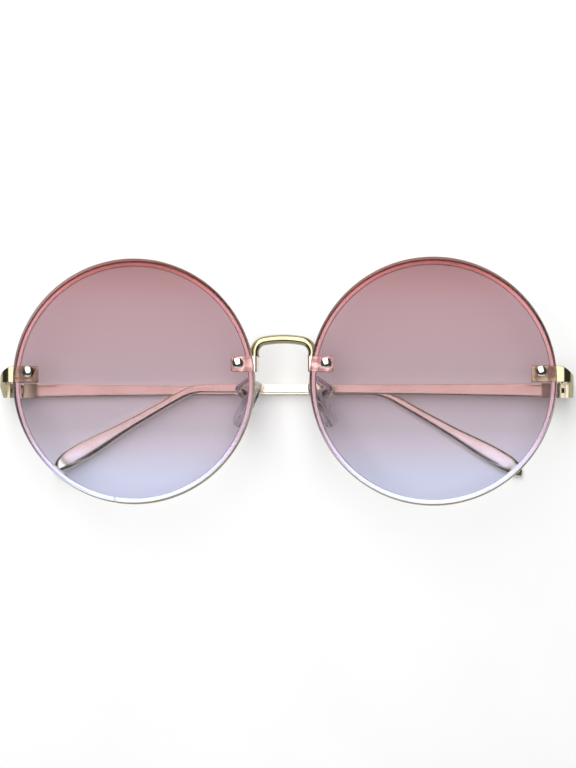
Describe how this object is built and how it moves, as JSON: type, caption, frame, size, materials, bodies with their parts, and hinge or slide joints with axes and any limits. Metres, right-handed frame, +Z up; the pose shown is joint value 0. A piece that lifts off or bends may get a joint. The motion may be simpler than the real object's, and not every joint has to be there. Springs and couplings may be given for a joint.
{
  "type": "oversized sunglasses",
  "caption": "Oversized round sunglasses: flat gradient lenses riveted over wire rims, arched bridge, nose pads and folded metal temples.",
  "frame": {"origin": "on the floor, under the middle of the box round the folded glasses as they lie", "axes": "+X to the wearer's left along the width, +Y from the temples towards the tops of the lenses, +Z up out of the lens fronts; the folded glasses lie on the outer side of the right temple"},
  "size_m": [0.1524, 0.065, 0.0182],
  "materials": {
    "tinted_lens": "polished tinted polycarbonate, rose at the top to pale blue at the bottom",
    "gold_metal": "polished pale gold plate on nickel silver",
    "polished_steel": "bright polished steel",
    "clear_pad": "clear moulded silicone"
  },
  "bodies": {
    "front": {"bridge": "gold_metal", "left_end_piece": "gold_metal", "left_hinge_front_leaf": "gold_metal", "left_hinge_screw": "polished_steel", "left_lens": "tinted_lens", "left_nasal_lug": "gold_metal", "left_nasal_rivet": "polished_steel", "left_pad_arm": "gold_metal", "left_pad_box": "polished_steel", "left_pad_screw": "polished_steel", "left_rim": "gold_metal", "left_temporal_rivet": "polished_steel", "right_end_piece": "gold_metal", "right_hinge_front_leaf": "gold_metal", "right_hinge_screw": "polished_steel", "right_lens": "tinted_lens", "right_nasal_lug": "gold_metal", "right_nasal_rivet": "polished_steel", "right_pad_arm": "gold_metal", "right_pad_box": "polished_steel", "right_pad_screw": "polished_steel", "right_rim": "gold_metal", "right_temporal_rivet": "polished_steel"},
    "left_temple": {"left_hinge_temple_leaf": "gold_metal", "left_temple": "gold_metal"},
    "right_temple": {"right_hinge_temple_leaf": "gold_metal", "right_temple": "gold_metal"},
    "left_pad": {"left_nose_pad": "clear_pad"},
    "right_pad": {"right_nose_pad": "clear_pad"}
  },
  "joints": [
    {"name": "left_temple_fold", "type": "hinge", "parent": "front", "child": "left_temple", "pos_m": [0.073, -0.0024, 0.00495], "axis": [0, -1, 0], "range_deg": [0, 90.69]},
    {"name": "right_temple_fold", "type": "hinge", "parent": "right_temple", "child": "front", "pos_m": [-0.07289, -0.0024, 0.0032], "axis": [0, -1, 0], "range_deg": [0, 89.31]},
    {"name": "left_pad_rock", "type": "hinge", "parent": "front", "child": "left_pad", "pos_m": [0.01101, -0.00325, 0.0083], "axis": [0.4177, 0, -0.9086], "range_deg": [-8, 8]},
    {"name": "right_pad_rock", "type": "hinge", "parent": "front", "child": "right_pad", "pos_m": [-0.011, -0.00325, 0.00803], "axis": [-0.3958, 0, -0.9184], "range_deg": [-8, 8]}
  ]
}
